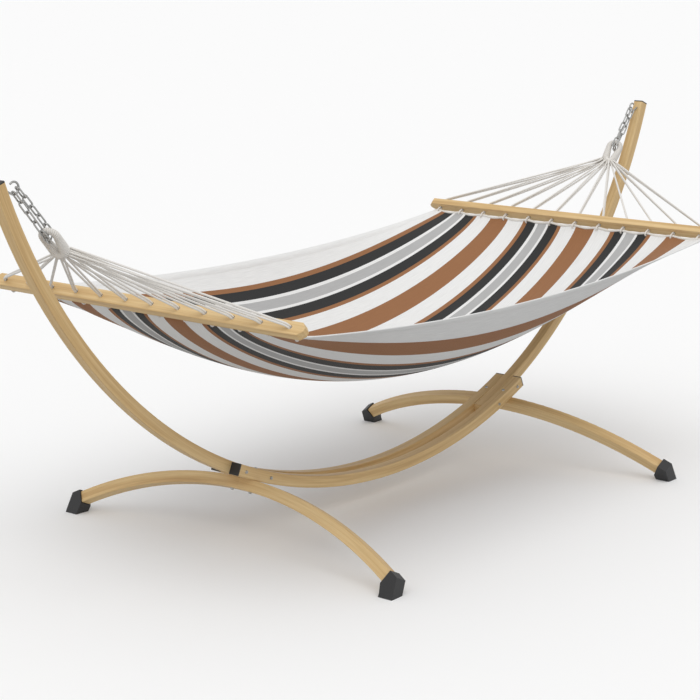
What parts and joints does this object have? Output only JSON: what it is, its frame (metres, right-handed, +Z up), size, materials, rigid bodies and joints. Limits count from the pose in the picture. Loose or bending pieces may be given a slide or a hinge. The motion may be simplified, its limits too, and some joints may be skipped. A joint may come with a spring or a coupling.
{
  "type": "hammock on stand",
  "caption": "Striped cloth hammock with wooden spreader bars, hung by cords, wrapped rings and chains from hooks on a curved wooden stand with splayed legs.",
  "frame": {"origin": "on the floor, under the middle of the stand", "axes": "+X along the hammock's length, +Y across it, +Z up"},
  "size_m": [3.2122, 1.3226, 1.1943],
  "materials": {
    "stand_wood": "clear oiled laminated softwood",
    "bar_wood": "clear oiled softwood",
    "cap_plastic": "black moulded, fine texture",
    "foot_plastic": "black moulded, fine texture",
    "fastener_steel": "zinc plated, slightly dull",
    "hook_steel": "zinc plated, slightly dull",
    "chain_steel": "zinc plated, slightly dull",
    "whipping_cord": "off-white cord, wrapped",
    "rope_cord": "off-white twisted cord",
    "hem_rope": "off-white twisted cord",
    "bed_cloth": "woven cotton, white with brown, black and grey stripes along the length"
  },
  "bodies": {
    "stand": {"arm_cap_left": "cap_plastic", "arm_cap_right": "cap_plastic", "arm_left": "stand_wood", "arm_right": "stand_wood", "cheek_back": "stand_wood", "cheek_cap_left_back": "cap_plastic", "cheek_cap_left_front": "cap_plastic", "cheek_cap_right_back": "cap_plastic", "cheek_cap_right_front": "cap_plastic", "cheek_front": "stand_wood", "foot_left_back": "foot_plastic", "foot_left_front": "foot_plastic", "foot_right_back": "foot_plastic", "foot_right_front": "foot_plastic", "hook_left": "hook_steel", "hook_right": "hook_steel", "leg_bolts": "fastener_steel", "leg_left": "stand_wood", "leg_nuts": "fastener_steel", "leg_right": "stand_wood", "leg_washers": "fastener_steel", "side_bolts": "fastener_steel", "side_nuts": "fastener_steel", "side_washers": "fastener_steel"},
    "chain_left": {"chain_left": "chain_steel"},
    "chain_right": {"chain_right": "chain_steel"},
    "hammock": {"bar_left": "bar_wood", "bar_right": "bar_wood", "bed": "bed_cloth", "hem_cord_left": "hem_rope", "hem_cord_right": "hem_rope", "ring_left": "whipping_cord", "ring_right": "whipping_cord", "rope_left_1": "rope_cord", "rope_left_10": "rope_cord", "rope_left_11": "rope_cord", "rope_left_12": "rope_cord", "rope_left_2": "rope_cord", "rope_left_3": "rope_cord", "rope_left_4": "rope_cord", "rope_left_5": "rope_cord", "rope_left_6": "rope_cord", "rope_left_7": "rope_cord", "rope_left_8": "rope_cord", "rope_left_9": "rope_cord", "rope_right_1": "rope_cord", "rope_right_10": "rope_cord", "rope_right_11": "rope_cord", "rope_right_12": "rope_cord", "rope_right_2": "rope_cord", "rope_right_3": "rope_cord", "rope_right_4": "rope_cord", "rope_right_5": "rope_cord", "rope_right_6": "rope_cord", "rope_right_7": "rope_cord", "rope_right_8": "rope_cord", "rope_right_9": "rope_cord"}
  },
  "joints": [
    {"name": "chain_left_swing", "type": "hinge", "parent": "stand", "child": "chain_left", "pos_m": [-1.51639, 0, 1.15683], "axis": [1, 0, 0], "range_deg": [-12, 12]},
    {"name": "chain_right_swing", "type": "hinge", "parent": "stand", "child": "chain_right", "pos_m": [1.51639, 0, 1.15683], "axis": [1, 0, 0], "range_deg": [-12, 12]},
    {"name": "hammock_roll", "type": "hinge", "parent": "chain_left", "child": "hammock", "pos_m": [-1.41469, 0, 1.03563], "axis": [1, 0, 0], "range_deg": [-10, 10]}
  ],
  "couplings": [
    {"joint": "chain_right_swing", "follows": "chain_left_swing", "ratio": 1}
  ]
}
